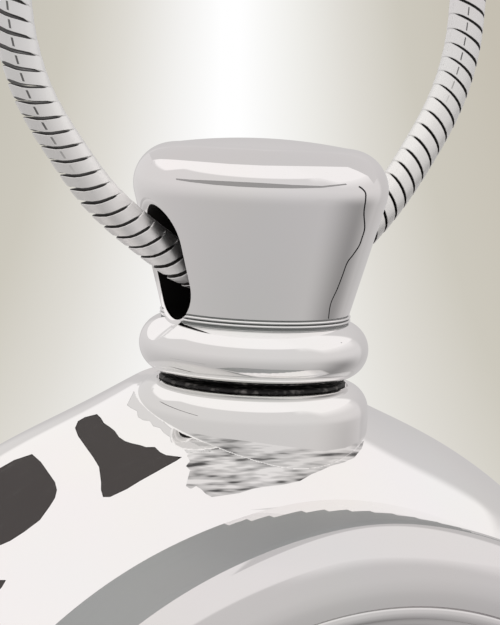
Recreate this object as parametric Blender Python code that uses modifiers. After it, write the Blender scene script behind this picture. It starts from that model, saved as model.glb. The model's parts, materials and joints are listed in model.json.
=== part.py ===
"""Keepsake flask pendant: a round silver flask with a screw stopper, hung on a snake chain.

Metres, +Z up, front face towards -Y, chain hole along X. The origin is the top of the hanging chain loop,
on the chain's own centreline.
"""

import math

import bpy
from mathutils import Vector

MM = 0.001

# Chain: an 18 inch loop that hangs from one point
CHAIN_LENGTH = 457.0 * MM
CHAIN_RADIUS = 0.45 * MM
LOOP_RADIUS = 6.1 * MM
CHAIN_SIDES_RESOLUTION = 2
CHAIN_STRAND_POINTS = 14
CHAIN_TOP_STEPS = 10
CHAIN_BIGHT_STEPS = 32

# Clasp barrel, on the +X strand below the top of the loop
CLASP_LENGTH = 9.0 * MM
CLASP_RADIUS = 1.25 * MM
CLASP_SOCKET_RADIUS = 0.72 * MM
CLASP_SOCKET_DEPTH = 2.6 * MM
CLASP_CENTRE_DROP = 34.0 * MM
CLASP_EDGE = 0.22 * MM
SOCKET_ENTRY = 2.2 * MM

# Stopper, measured up from the centre of its bead
BEAD_RADIUS = 2.07 * MM
BEAD_MINOR = 0.68 * MM
CAP_FOOT_RADIUS = 2.20 * MM
CAP_FOOT_HEIGHT = 0.66 * MM
CAP_FOOT_STEP = 0.07 * MM
CAP_WIDE_RADIUS = 3.04 * MM
CAP_WIDE_HEIGHT = 3.74 * MM
CAP_TOP_HEIGHT = 4.86 * MM
CAP_EDGE_RADIUS = 0.96 * MM
CAP_CROWN = 0.14 * MM
HOLE_HALF_WIDTH = 0.80 * MM
HOLE_BOTTOM = 0.76 * MM
HOLE_TOP = 3.34 * MM
HOLE_MOUTH_EDGE = 0.16 * MM
PIVOT_HEIGHT = 2.0 * MM
STUD_RADIUS = 1.30 * MM
STUD_LENGTH = 2.60 * MM
STUD_CHAMFER = 0.25 * MM

# Seal ring in the groove under the stopper
SEAL_OUTER_RADIUS = 2.42 * MM
SEAL_INNER_RADIUS = 1.44 * MM
SEAL_THICKNESS = 0.16 * MM
SEAL_GAP = 0.08 * MM

# Flask: radii from its own centre, depths towards the front face
BODY_RADIUS = 12.5 * MM
BODY_BELOW_BEAD = 13.7 * MM
RIDGE_DEPTH = -1.33 * MM
SHOULDER_REACH = 4.4 * MM
SHOULDER_DEPTH = 5.45 * MM
SHOULDER_BACK_DEPTH = 4.25 * MM
SHOULDER_APEX = 13.85 * MM
SHOULDER_ROUND = 0.42 * MM
SHOULDER_BLEND = 0.12 * MM
SHOULDER_SLOPE = math.radians(26.2)
DRUM_RADIUS = 10.72 * MM
DRUM_FOOT_RADIUS = 10.50 * MM
DRUM_WALL_DEPTH = 3.60 * MM
DRUM_EDGE_DEPTH = 5.85 * MM
DRUM_CREST_RADIUS = 9.75 * MM
DRUM_CREST_DEPTH = 6.70 * MM
RING_OUTER_RADIUS = 8.70 * MM
RING_INNER_RADIUS = 7.95 * MM
RING_DEPTH = 6.55 * MM
RING_VALLEY_DEPTH = 6.30 * MM
MEDAL_DEPTH = 6.20 * MM
BACK_EDGE_RADIUS = 9.2 * MM
BACK_DEPTH = 5.9 * MM
BACK_EDGE_DEPTH = 5.25 * MM
WALL = 1.0 * MM
NECK_BORE_RADIUS = 1.62 * MM
COLLAR_TOP_RADIUS = 2.50 * MM
COLLAR_RADIUS = 2.82 * MM
COLLAR_BULGE = 0.62 * MM
COLLAR_DEPTH = 4.2 * MM
GROOVE_TRIM_RADIUS = 3.10 * MM

TURNED_SEGMENTS = 72
SMALL_SEGMENTS = 56
SMOOTH_ANGLE = math.radians(32)


def clear_scene():
    for obj in list(bpy.data.objects):
        bpy.data.objects.remove(obj, do_unlink=True)


def make_collection(name):
    coll = bpy.data.collections.new(name)
    bpy.context.scene.collection.children.link(coll)
    return coll


def make_material(name, colour, roughness, metallic):
    mat = bpy.data.materials.new(name)
    mat.use_nodes = True
    shader = mat.node_tree.nodes["Principled BSDF"]
    shader.inputs["Base Color"].default_value = (*colour, 1.0)
    shader.inputs["Roughness"].default_value = roughness
    shader.inputs["Metallic"].default_value = metallic
    mat.diffuse_color = (*colour, 1.0)
    return mat


def arc(centre, radii, start, end, steps):
    """Points of an elliptic arc in (radius, height), angles in degrees from the +radius axis."""
    points = []
    for i in range(steps + 1):
        angle = math.radians(start + (end - start) * i / steps)
        points.append((centre[0] + radii[0] * math.cos(angle), centre[1] + radii[1] * math.sin(angle)))
    return points


def turned(name, profile, coll, segments, material=None):
    """A solid of revolution about local Z: a Screw modifier on a profile that runs from top to bottom."""
    mesh = bpy.data.meshes.new(name)
    verts = [(radius, 0.0, height) for radius, height in profile]
    edges = [(i, i + 1) for i in range(len(verts) - 1)]
    if profile[0][0] > 0.0:
        edges.append((len(verts) - 1, 0))
    mesh.from_pydata(verts, edges, [])
    obj = bpy.data.objects.new(name, mesh)
    coll.objects.link(obj)
    screw = obj.modifiers.new("turn", "SCREW")
    screw.axis = "Z"
    screw.angle = math.tau
    screw.steps = segments
    screw.render_steps = segments
    screw.use_merge_vertices = True
    screw.merge_threshold = 1e-6
    screw.use_normal_calculate = False
    if material:
        mesh.materials.append(material)
    return obj


def as_cutter(obj):
    obj.hide_render = True
    obj.display_type = "WIRE"
    return obj


def boolean(obj, other, operation, name):
    mod = obj.modifiers.new(name, "BOOLEAN")
    mod.operation = operation
    mod.solver = "EXACT"
    mod.object = other
    return mod


def baked(obj, collection):
    """Replace an object by its evaluated mesh, smooth shaded with sharp edges kept."""
    bpy.context.view_layer.update()
    depsgraph = bpy.context.evaluated_depsgraph_get()
    mesh = bpy.data.meshes.new_from_object(obj.evaluated_get(depsgraph))
    name = obj.name
    place = obj.matrix_world.copy()
    bpy.data.objects.remove(obj, do_unlink=True)
    solid = bpy.data.objects.new(name, mesh)
    mesh.name = name
    solid.matrix_world = place
    collection.objects.link(solid)
    mesh.shade_smooth()
    mesh.set_sharp_from_angle(angle=SMOOTH_ANGLE)
    return solid


def bight_route():
    """Hand-picked points of the chain through the stopper, left strand to right: (x, height above the bead)."""
    return [
        (-6.60 * MM, 10.40 * MM),
        (-6.57 * MM, 9.10 * MM),
        (-6.50 * MM, 7.87 * MM),
        (-6.28 * MM, 6.78 * MM),
        (-5.83 * MM, 5.68 * MM),
        (-5.06 * MM, 4.57 * MM),
        (-4.10 * MM, 3.46 * MM),
        (-2.87 * MM, 2.52 * MM),
        (-1.60 * MM, 1.80 * MM),
        (0.10 * MM, 1.50 * MM),
        (1.60 * MM, 1.87 * MM),
        (2.65 * MM, 2.60 * MM),
        (3.57 * MM, 3.55 * MM),
        (4.43 * MM, 4.77 * MM),
        (5.12 * MM, 6.02 * MM),
        (5.50 * MM, 7.27 * MM),
        (5.61 * MM, 8.60 * MM),
        (5.62 * MM, 10.40 * MM),
    ]


def smooth_points(route, steps):
    """Points read from a Catmull-Rom curve through a route."""
    spots = [Vector((x, 0.0, z)) for x, z in route]
    padded = [2 * spots[0] - spots[1]] + spots + [2 * spots[-1] - spots[-2]]
    out = []
    for i in range(steps + 1):
        place = (len(spots) - 1) * i / steps
        seg = min(int(place), len(spots) - 2)
        t = place - seg
        a, b, c, d = padded[seg:seg + 4]
        out.append(0.5 * (2 * b + (c - a) * t + (2 * a - 5 * b + 4 * c - d) * t * t
                          + (3 * b - a - 3 * c + d) * t ** 3))
    return out


def path_length(points):
    return sum((points[i + 1] - points[i]).length for i in range(len(points) - 1))


def bead_height():
    """Height of the bead's centre below the origin, from the chain's whole length."""
    bight = path_length(smooth_points(bight_route(), 400))
    strand = (CHAIN_LENGTH - math.pi * LOOP_RADIUS - bight) / 2
    return -(LOOP_RADIUS + strand + bight_route()[0][1])


BEAD_Z = bead_height()
ARC_FOOT_Z = -LOOP_RADIUS
CLASP_TOP = -CLASP_CENTRE_DROP + CLASP_LENGTH / 2
CLASP_BOTTOM = -CLASP_CENTRE_DROP - CLASP_LENGTH / 2


def right_strand_x(z):
    """The right strand leans a little from the bight to the loop's top."""
    foot = bight_route()[-1]
    share = (z - BEAD_Z - foot[1]) / (ARC_FOOT_Z - BEAD_Z - foot[1])
    return foot[0] + (LOOP_RADIUS - foot[0]) * share


def chain_path():
    """The chain's centreline, from the socket under the clasp round the whole loop to the socket above it."""
    bight = [point + Vector((0.0, 0.0, BEAD_Z)) for point in smooth_points(bight_route(), CHAIN_BIGHT_STEPS)]
    left_foot = bight[0]
    strand_foot = bight[-1].z
    points = []
    down_top = CLASP_BOTTOM + SOCKET_ENTRY
    for i in range(CHAIN_STRAND_POINTS):
        z = down_top + (strand_foot - down_top) * i / CHAIN_STRAND_POINTS
        points.append(Vector((right_strand_x(z), 0.0, z)))
    points += reversed(bight)
    arc_start = Vector((-LOOP_RADIUS, 0.0, ARC_FOOT_Z))
    for i in range(1, CHAIN_STRAND_POINTS + 1):
        points.append(left_foot.lerp(arc_start, i / CHAIN_STRAND_POINTS))
    for i in range(1, CHAIN_TOP_STEPS + 1):
        angle = math.pi * (1 - i / CHAIN_TOP_STEPS)
        points.append(Vector((LOOP_RADIUS * math.cos(angle), 0.0, ARC_FOOT_Z + LOOP_RADIUS * math.sin(angle))))
    last_z = CLASP_TOP - SOCKET_ENTRY
    for i in range(1, 4):
        z = ARC_FOOT_Z + (last_z - ARC_FOOT_Z) * i / 3
        points.append(Vector((right_strand_x(z), 0.0, z)))
    return points


def make_chain(coll, silver):
    points = chain_path()
    curve = bpy.data.curves.new("snake_chain", "CURVE")
    curve.dimensions = "3D"
    curve.bevel_depth = CHAIN_RADIUS
    curve.bevel_resolution = CHAIN_SIDES_RESOLUTION
    curve.use_fill_caps = True
    spline = curve.splines.new("POLY")
    spline.points.add(len(points) - 1)
    for slot, point in zip(spline.points, points):
        slot.co = (*point, 1.0)
    curve.materials.append(silver)
    obj = bpy.data.objects.new("snake_chain", curve)
    coll.objects.link(obj)
    return obj


def clasp_profile():
    """A barrel with a blind socket at each end, run from the upper socket's floor round the outside."""
    half = CLASP_LENGTH / 2
    floor = half - CLASP_SOCKET_DEPTH
    edge = CLASP_EDGE
    profile = [(0.0, floor), (CLASP_SOCKET_RADIUS, floor), (CLASP_SOCKET_RADIUS, half)]
    profile += arc((CLASP_RADIUS - edge, half - edge), (edge, edge), 90, 0, 4)
    profile += arc((CLASP_RADIUS - edge, edge - half), (edge, edge), 0, -90, 4)
    profile += [(CLASP_SOCKET_RADIUS, -half), (CLASP_SOCKET_RADIUS, -floor), (0.0, -floor)]
    return profile


def make_clasp(coll, silver):
    obj = turned("clasp_barrel", clasp_profile(), coll, 32, silver)
    obj.location = (right_strand_x(-CLASP_CENTRE_DROP), 0.0, -CLASP_CENTRE_DROP)
    return baked(obj, coll)


def stopper_profile():
    """Cap, stepped foot, bead and stud in one outline; heights are above the bead's centre."""
    side = Vector((CAP_WIDE_RADIUS - CAP_FOOT_RADIUS, CAP_WIDE_HEIGHT - CAP_FOOT_HEIGHT))
    flare = math.degrees(math.atan2(side.x, side.y))
    edge = CAP_EDGE_RADIUS
    centre = (CAP_WIDE_RADIUS - edge, CAP_TOP_HEIGHT - CAP_CROWN - edge)
    profile = [(0.0, CAP_TOP_HEIGHT), (centre[0] * 0.55, CAP_TOP_HEIGHT - CAP_CROWN * 0.3)]
    profile += arc(centre, (edge, edge), 90, -flare, 8)
    foot = CAP_FOOT_HEIGHT
    step = CAP_FOOT_STEP
    profile += [(CAP_FOOT_RADIUS, foot + step), (CAP_FOOT_RADIUS + step, foot)]
    profile += arc((BEAD_RADIUS, 0.0), (BEAD_MINOR, BEAD_MINOR), 70, -90, 10)
    profile += [(STUD_RADIUS, -BEAD_MINOR)]
    stud_foot = -BEAD_MINOR - STUD_LENGTH
    profile += [(STUD_RADIUS, stud_foot + STUD_CHAMFER), (STUD_RADIUS - STUD_CHAMFER, stud_foot)]
    profile += [(0.0, stud_foot)]
    return profile


def hole_outline(grow):
    """The slot's outline, a stadium in the YZ plane."""
    half = HOLE_HALF_WIDTH + grow
    low = HOLE_BOTTOM + HOLE_HALF_WIDTH
    high = HOLE_TOP - HOLE_HALF_WIDTH
    return arc((0.0, high), (half, half), 0, 180, 10) + arc((0.0, low), (half, half), 180, 360, 10)


def make_hole_cutter(cutters):
    """The chain's slot along X, with flared mouths, lofted through four sections."""
    reach = CAP_WIDE_RADIUS + 0.6 * MM
    seat = CAP_FOOT_RADIUS
    stations = [(-reach, HOLE_MOUTH_EDGE), (-seat, 0.0), (seat, 0.0), (reach, HOLE_MOUTH_EDGE)]
    verts = []
    for x, grow in stations:
        verts += [(x, y, z + BEAD_Z) for y, z in hole_outline(grow)]
    count = len(hole_outline(0.0))
    faces = [tuple(reversed(range(count)))]
    for ring in range(len(stations) - 1):
        for i in range(count):
            j = (i + 1) % count
            low = ring * count
            faces.append((low + i, low + j, low + count + j, low + count + i))
    faces.append(tuple(range(count * (len(stations) - 1), count * len(stations))))
    mesh = bpy.data.meshes.new("slot_cutter")
    mesh.from_pydata(verts, [], faces)
    obj = bpy.data.objects.new("slot_cutter", mesh)
    cutters.objects.link(obj)
    return as_cutter(obj)


def make_stopper(coll, cutters, silver):
    obj = turned("screw_stopper", stopper_profile(), coll, SMALL_SEGMENTS, silver)
    obj.location = (0.0, 0.0, BEAD_Z)
    boolean(obj, make_hole_cutter(cutters), "DIFFERENCE", "chain slot")
    return baked(obj, coll)


def make_seal(coll, rubber):
    top = -BEAD_MINOR - SEAL_GAP
    bottom = top - SEAL_THICKNESS
    round_off = SEAL_THICKNESS / 2
    profile = [(SEAL_INNER_RADIUS, top)]
    profile += arc((SEAL_OUTER_RADIUS - round_off, top - round_off), (round_off, round_off), 90, -90, 6)
    profile += [(SEAL_INNER_RADIUS, bottom)]
    obj = turned("seal_ring", profile, coll, SMALL_SEGMENTS, rubber)
    obj.location = (0.0, 0.0, BEAD_Z)
    return baked(obj, coll)


def collar_top():
    return -BEAD_MINOR - SEAL_THICKNESS - 2 * SEAL_GAP


def shoulder_arc(start, end, steps):
    """The rounded rim, deeper to the front of its ridge than behind it."""
    centre = (BODY_RADIUS - SHOULDER_REACH, RIDGE_DEPTH)
    depth = SHOULDER_DEPTH if start > 0 else SHOULDER_BACK_DEPTH
    return arc(centre, (SHOULDER_REACH, depth), start, end, steps)


def flask_profile():
    """Outer section from the middle of the front face, over the rim, to the middle of the back."""
    profile = [(0.0, MEDAL_DEPTH), (RING_INNER_RADIUS - 0.2 * MM, MEDAL_DEPTH)]
    middle = (RING_OUTER_RADIUS + RING_INNER_RADIUS) / 2
    half = (RING_OUTER_RADIUS - RING_INNER_RADIUS) / 2
    profile += arc((middle, RING_VALLEY_DEPTH), (half, RING_DEPTH - RING_VALLEY_DEPTH), 180, 0, 8)
    profile += arc((DRUM_CREST_RADIUS, RING_VALLEY_DEPTH),
                   (DRUM_CREST_RADIUS - RING_OUTER_RADIUS - 0.1 * MM, DRUM_CREST_DEPTH - RING_VALLEY_DEPTH),
                   170, 90, 4)
    profile += arc((DRUM_CREST_RADIUS, DRUM_EDGE_DEPTH),
                   (DRUM_RADIUS - DRUM_CREST_RADIUS, DRUM_CREST_DEPTH - DRUM_EDGE_DEPTH), 72, 0, 5)
    profile += [(DRUM_RADIUS, DRUM_WALL_DEPTH), (DRUM_FOOT_RADIUS, DRUM_WALL_DEPTH - 0.3 * MM)]
    profile += shoulder_arc(55, 0, 9)
    profile += shoulder_arc(-6, -62, 8)
    profile += [(BACK_EDGE_RADIUS, -BACK_EDGE_DEPTH)]
    profile += [(BACK_EDGE_RADIUS * 0.72, -BACK_DEPTH + 0.32 * MM), (BACK_EDGE_RADIUS * 0.4, -BACK_DEPTH + 0.08 * MM)]
    profile += [(0.0, -BACK_DEPTH)]
    return profile


def shoulder_radius(angle):
    """Distance from the flask's centre to the slope beside the neck: two lines that meet in a rounded apex."""
    slope = math.tan(SHOULDER_SLOPE) ** 2
    across = math.cos(angle)
    a = across * across - slope * math.sin(angle) ** 2
    b = SHOULDER_APEX * across
    c = SHOULDER_APEX ** 2 - SHOULDER_ROUND ** 2
    line = (b - math.sqrt(b * b - a * c)) / a
    blend = math.hypot(line - BODY_RADIUS, SHOULDER_BLEND)
    fade = min(1.0, (SHOULDER_SLOPE - angle) / math.radians(4))
    return BODY_RADIUS + fade * (line - BODY_RADIUS + blend) / 2


def lift_shoulders(obj):
    """Draw the rim out into the slopes that run up to the neck."""
    for vert in obj.data.vertices:
        angle = abs(math.atan2(vert.co.x, vert.co.y))
        radius = math.hypot(vert.co.x, vert.co.y)
        share = (radius - DRUM_FOOT_RADIUS) / (BODY_RADIUS - DRUM_FOOT_RADIUS)
        if angle >= SHOULDER_SLOPE or share <= 0.0:
            continue
        grow = 1.0 + (shoulder_radius(angle) - BODY_RADIUS) * share / radius
        vert.co.x *= grow
        vert.co.y *= grow


def cavity_profile():
    """The space inside, one wall's thickness in from the outer section."""
    profile = [(0.0, MEDAL_DEPTH - WALL), (RING_INNER_RADIUS, MEDAL_DEPTH - WALL)]
    profile += [(DRUM_RADIUS - WALL, DRUM_EDGE_DEPTH - WALL * 0.4), (DRUM_RADIUS - WALL, DRUM_WALL_DEPTH)]
    centre = (BODY_RADIUS - SHOULDER_REACH, RIDGE_DEPTH)
    profile += arc(centre, (SHOULDER_REACH - WALL, SHOULDER_DEPTH - WALL), 50, 0, 5)
    profile += arc(centre, (SHOULDER_REACH - WALL, SHOULDER_BACK_DEPTH - WALL), -12, -66, 5)
    profile += [(BACK_EDGE_RADIUS * 0.6, -BACK_DEPTH + WALL), (0.0, -BACK_DEPTH + WALL)]
    return profile


def facing(obj):
    """Turn a piece so that its axis points to the front and its centre is the flask's."""
    obj.rotation_euler = (math.radians(90), 0.0, 0.0)
    obj.location = (0.0, 0.0, BEAD_Z - BODY_BELOW_BEAD)
    return obj


def collar_profile():
    """The neck's collar: a bead under the groove, then straight down into the shoulder."""
    top = collar_top()
    bulge = COLLAR_BULGE
    profile = [(0.0, top), (COLLAR_TOP_RADIUS, top)]
    profile += arc((COLLAR_RADIUS - bulge, top - bulge), (bulge, bulge), 68, 0, 6)
    profile += [(COLLAR_RADIUS, top - COLLAR_DEPTH), (0.0, top - COLLAR_DEPTH)]
    return profile


def plain_rod(name, radius, low, high, cutters, segments):
    """A turned rod about Z between two heights above the bead."""
    obj = turned(name, [(0.0, high), (radius, high), (radius, low), (0.0, low)], cutters, segments)
    obj.location = (0.0, 0.0, BEAD_Z)
    return as_cutter(obj)


def make_flask(coll, cutters, silver):
    body = baked(turned("flask_body", flask_profile(), coll, TURNED_SEGMENTS, silver), coll)
    lift_shoulders(body)
    facing(body)
    top = collar_top()
    trim = plain_rod("groove_trim", GROOVE_TRIM_RADIUS, top, top + 2.0 * MM, cutters, SMALL_SEGMENTS)
    boolean(body, trim, "DIFFERENCE", "groove trim")
    collar = turned("collar_form", collar_profile(), cutters, SMALL_SEGMENTS)
    collar.location = (0.0, 0.0, BEAD_Z)
    boolean(body, as_cutter(collar), "UNION", "collar")
    cavity = as_cutter(facing(turned("cavity_cutter", cavity_profile(), cutters, 56)))
    boolean(body, cavity, "DIFFERENCE", "cavity")
    bore = plain_rod("neck_bore", NECK_BORE_RADIUS, top - 3.2 * MM, top + 1.0 * MM, cutters, 36)
    boolean(body, bore, "DIFFERENCE", "neck bore")
    return baked(body, coll)


def joint_empty(name, place, coll):
    empty = bpy.data.objects.new(name, None)
    empty.empty_display_size = 2.0 * MM
    empty.location = place
    coll.objects.link(empty)
    return empty


def hang_on(empty, parent):
    """Parent an empty to another, keeping its place."""
    bpy.context.view_layer.update()
    empty.parent = parent
    empty.matrix_parent_inverse = parent.matrix_world.inverted()


def main():
    clear_scene()
    coll = make_collection("cremation_pendant")
    cutters = make_collection("pendant_cutters")
    silver = make_material("polished silver", (0.86, 0.85, 0.84), 0.06, 1.0)
    chain_silver = make_material("chain silver", (0.72, 0.71, 0.70), 0.18, 1.0)
    rubber = make_material("black seal rubber", (0.02, 0.02, 0.02), 0.6, 0.0)

    make_chain(coll, chain_silver)
    make_clasp(coll, silver)
    stopper = make_stopper(coll, cutters, silver)
    seal = make_seal(coll, rubber)
    flask = make_flask(coll, cutters, silver)

    swing = joint_empty("swing_axis", (0.0, 0.0, BEAD_Z + PIVOT_HEIGHT), coll)
    thread = joint_empty("thread_axis", (0.0, 0.0, BEAD_Z), coll)
    hang_on(thread, swing)
    hang_on(stopper, swing)
    hang_on(seal, thread)
    hang_on(flask, thread)


main()
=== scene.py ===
import json
import math

import bmesh
import bpy
from mathutils import Matrix, Vector, noise
from mathutils.bvhtree import BVHTree
from mathutils.geometry import delaunay_2d_cdt
from mathutils.interpolate import poly_3d_calc


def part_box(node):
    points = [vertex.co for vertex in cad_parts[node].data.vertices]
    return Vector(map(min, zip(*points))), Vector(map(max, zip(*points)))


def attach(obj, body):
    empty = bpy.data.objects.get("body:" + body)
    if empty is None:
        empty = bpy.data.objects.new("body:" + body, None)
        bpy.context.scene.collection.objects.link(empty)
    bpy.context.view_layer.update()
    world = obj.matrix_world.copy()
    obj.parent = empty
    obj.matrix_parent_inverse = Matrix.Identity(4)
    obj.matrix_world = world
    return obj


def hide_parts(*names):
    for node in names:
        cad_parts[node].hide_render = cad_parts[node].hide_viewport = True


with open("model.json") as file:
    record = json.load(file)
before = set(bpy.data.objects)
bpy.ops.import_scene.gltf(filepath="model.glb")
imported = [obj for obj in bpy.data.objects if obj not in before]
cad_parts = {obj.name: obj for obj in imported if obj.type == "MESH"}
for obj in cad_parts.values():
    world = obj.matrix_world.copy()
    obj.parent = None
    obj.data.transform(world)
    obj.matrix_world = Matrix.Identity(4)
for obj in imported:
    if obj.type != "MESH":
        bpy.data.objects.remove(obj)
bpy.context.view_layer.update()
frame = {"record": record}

mm = 0.001
print("frame loaded")

joints = {joint["name"]: joint for joint in frame["record"]["behaviour"]["joints"]}
beadZ = joints["flask_turn"]["pos_m"][2]  # centre of the bead under the cap


# small helpers

def linkMesh(name, mesh):
    obj = bpy.data.objects.new(name, mesh)
    bpy.context.scene.collection.objects.link(obj)
    return obj


def lifted(name, bm, outward=False):
    # the working mesh as an object
    if outward:
        bmesh.ops.recalc_face_normals(bm, faces=bm.faces)
    mesh = bpy.data.meshes.new(name)
    bm.to_mesh(mesh)
    bm.free()
    return linkMesh(name, mesh)


def painted(obj, *materials):
    for material in materials:
        obj.data.materials.append(material)
    return obj


def ellipseArc(centre, radii, start, end, steps):
    points = []
    for i in range(steps + 1):
        angle = math.radians(start + (end - start) * i / steps)
        points.append((centre[0] + radii[0] * math.cos(angle), centre[1] + radii[1] * math.sin(angle)))
    return points


def runBetween(a, b, steps):
    # evenly spaced points after a, up to and with b
    across, down = b[0] - a[0], b[1] - a[1]
    return [(a[0] + across * i / steps, a[1] + down * i / steps) for i in range(1, steps + 1)]


def lathe(name, profile, segments):
    # turns (radius, height) pairs about Z, from the top of the outside to its foot
    bm = bmesh.new()
    rings = []
    for radius, height in profile:
        if radius < 1e-9:
            rings.append([bm.verts.new((0, 0, height))])
            continue
        ring = []
        for i in range(segments):
            angle = math.tau * i / segments
            ring.append(bm.verts.new((radius * math.cos(angle), radius * math.sin(angle), height)))
        rings.append(ring)
    if len(rings[0]) > 1:
        rings.append(rings[0])
    for upper, lower in zip(rings, rings[1:]):
        for i in range(segments):
            j = (i + 1) % segments
            if len(upper) == 1:
                bm.faces.new((upper[0], lower[i], lower[j]))
            elif len(lower) == 1:
                bm.faces.new((upper[i], lower[0], upper[j]))
            else:
                bm.faces.new((upper[i], lower[i], lower[j], upper[j]))
    obj = lifted(name, bm)
    obj.data.shade_smooth()
    return obj


def placed(obj, matrix):
    # puts the place into the mesh, so that the object stays at the origin
    obj.data.transform(matrix)
    return obj


def atBead(obj):
    return placed(obj, Matrix.Translation((0, 0, beadZ)))


def cutWith(obj, other, operation):
    mod = obj.modifiers.new("cut", "BOOLEAN")
    mod.operation = operation
    mod.solver = "EXACT"
    mod.material_mode = "TRANSFER"
    mod.object = other


def settled(obj, *cutters):
    # applies the modifiers and removes the shapes that were cut with
    mesh = bpy.data.meshes.new_from_object(obj.evaluated_get(bpy.context.evaluated_depsgraph_get()))
    old = obj.data
    obj.modifiers.clear()
    obj.data = mesh
    mesh.name = obj.name
    bpy.data.meshes.remove(old)
    for cutter in cutters:
        bpy.data.objects.remove(cutter, do_unlink=True)
    return obj


def smoothed(obj, degrees):
    obj.data.shade_smooth()
    obj.data.set_sharp_from_angle(angle=math.radians(degrees))
    return obj


class Board:
    # short way to write chains of nodes
    def __init__(self, tree):
        self.nodes = tree.nodes
        self.links = tree.links

    def put(self, socket, value):
        if isinstance(value, bpy.types.NodeSocket):
            self.links.new(value, socket)
        else:
            socket.default_value = value

    def fill(self, node, inputs):
        for key, value in inputs.items():
            self.put(node.inputs[key], value)
        return node

    def add(self, kind, inputs=None, **settings):
        node = self.nodes.new(kind)
        for key, value in settings.items():
            setattr(node, key, value)
        return self.fill(node, inputs or {})

    def math(self, operation, *values, clamp=False):
        inputs = dict(enumerate(values))
        return self.add("ShaderNodeMath", inputs, operation=operation, use_clamp=clamp).outputs["Value"]

    def dot(self, vector, fixed):
        inputs = {0: vector, 1: fixed}
        return self.add("ShaderNodeVectorMath", inputs, operation="DOT_PRODUCT").outputs["Value"]

    def mapped(self, value, low, high, kind="LINEAR"):
        # 0 below low, 1 above high
        inputs = {"Value": value, "From Min": low, "From Max": high}
        return self.add("ShaderNodeMapRange", inputs, interpolation_type=kind).outputs["Result"]

    def rise(self, value, low, high):
        return self.mapped(value, low, high, "SMOOTHSTEP")

    def between(self, value, low, high, soft):
        return self.math("MULTIPLY", self.rise(value, low - soft, low + soft),
                         self.math("SUBTRACT", 1.0, self.rise(value, high - soft, high + soft)))

    def mix(self, factor, a, b, kind="MIX"):
        inputs = {"Factor": factor, 6: a, 7: b}
        return self.add("ShaderNodeMix", inputs, data_type="RGBA", blend_type=kind).outputs[2]

    def ramp(self, value, low, high, stops):
        colours = self.add("ShaderNodeValToRGB", {"Fac": self.mapped(value, low, high)})
        elements = colours.color_ramp.elements
        while len(elements) < len(stops):
            elements.new(0.5)
        for element, (place, shade) in zip(elements, stops):
            element.position = (place - low) / (high - low)
            element.color = shade
        return colours.outputs["Color"]

    def reading(self, name):
        return self.add("ShaderNodeAttribute", attribute_name=name).outputs["Fac"]

    def grain(self, scale, detail, vector=None):
        vector = vector or self.add("ShaderNodeTexCoord").outputs["Object"]
        return self.add("ShaderNodeTexNoise", {"Vector": vector, "Scale": scale, "Detail": detail}).outputs


# materials

def nodeMaterial(name):
    mat = bpy.data.materials.new(name)
    mat.use_nodes = True
    return mat, Board(mat.node_tree)


def buildSilverWear():
    # faint polishing lines, breath-like haze and tiny dents, shared by every silver part
    group = bpy.data.node_groups.new("silverWear", "ShaderNodeTree")
    face = group.interface
    for name, start in (("Roughness", 0.05), ("Haze", 0.03), ("Scratch", 0.02), ("Ripple", 0.0)):
        face.new_socket(name=name, in_out="INPUT", socket_type="NodeSocketFloat").default_value = start
    tint = face.new_socket(name="Tint", in_out="INPUT", socket_type="NodeSocketColor")
    tint.default_value = (0.93, 0.92, 0.915, 1)
    for name, kind in (("Color", "Color"), ("Roughness", "Float"), ("Normal", "Vector")):
        face.new_socket(name=name, in_out="OUTPUT", socket_type="NodeSocket" + kind)
    board = Board(group)
    into = board.add("NodeGroupInput").outputs
    place = board.add("ShaderNodeTexCoord").outputs["Object"]
    haze = board.grain(220, 4)
    rough = board.math("MULTIPLY_ADD", haze["Fac"], into["Haze"], into["Roughness"])
    stretched = board.add("ShaderNodeMapping", {"Vector": place, "Rotation": (0.3, 0.5, 0.2),
                                                "Scale": (1, 9, 0.6)})
    scratch = board.grain(900, 2, stretched.outputs["Vector"])
    lines = board.ramp(scratch["Fac"], 0, 1, ((0.56, (0, 0, 0, 1)), (0.72, (1, 1, 1, 1))))
    ripple = board.math("MULTIPLY", board.grain(300, 1)["Fac"], into["Ripple"])
    bump = board.add("ShaderNodeBump", {"Height": ripple, "Strength": 1, "Distance": 0.0001})
    board.add("NodeGroupOutput", {
        "Color": board.mix(0.06, into["Tint"], haze["Color"], "MULTIPLY"),
        "Roughness": board.math("MULTIPLY_ADD", lines, into["Scratch"], rough),
        "Normal": bump.outputs["Normal"],
    })
    return group


silverWear = buildSilverWear()


def silverMaterial(name, **values):
    mat, board = nodeMaterial(name)
    wearAndShade = board.add("ShaderNodeGroup", values, node_tree=silverWear).outputs
    board.fill(board.nodes["Principled BSDF"], {"Metallic": 1.0, "Base Color": wearAndShade["Color"],
                                                "Roughness": wearAndShade["Roughness"], "Normal": wearAndShade["Normal"]})
    return mat


polishedSilver = silverMaterial("polishedSilver", Roughness=0.015, Haze=0.02, Scratch=0.02)
# the front face's silver, its tint darkened by painted shade
faceSilver = silverMaterial("faceSilver", Roughness=0.05, Haze=0.03, Scratch=0.03,
                            Tint=(0.76, 0.752, 0.748, 1))
# rough satin whose dark tint is painted shade, on the drum's wall and under the cap's foot steps
satinSilver = silverMaterial("satinSilver", Roughness=0.5, Haze=0.06, Tint=(0.42, 0.432, 0.43, 1))
slotShade = silverMaterial("slotShade", Roughness=0.45, Haze=0.1, Tint=(0.03, 0.028, 0.027, 1))
print("materials made")


# chain

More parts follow.
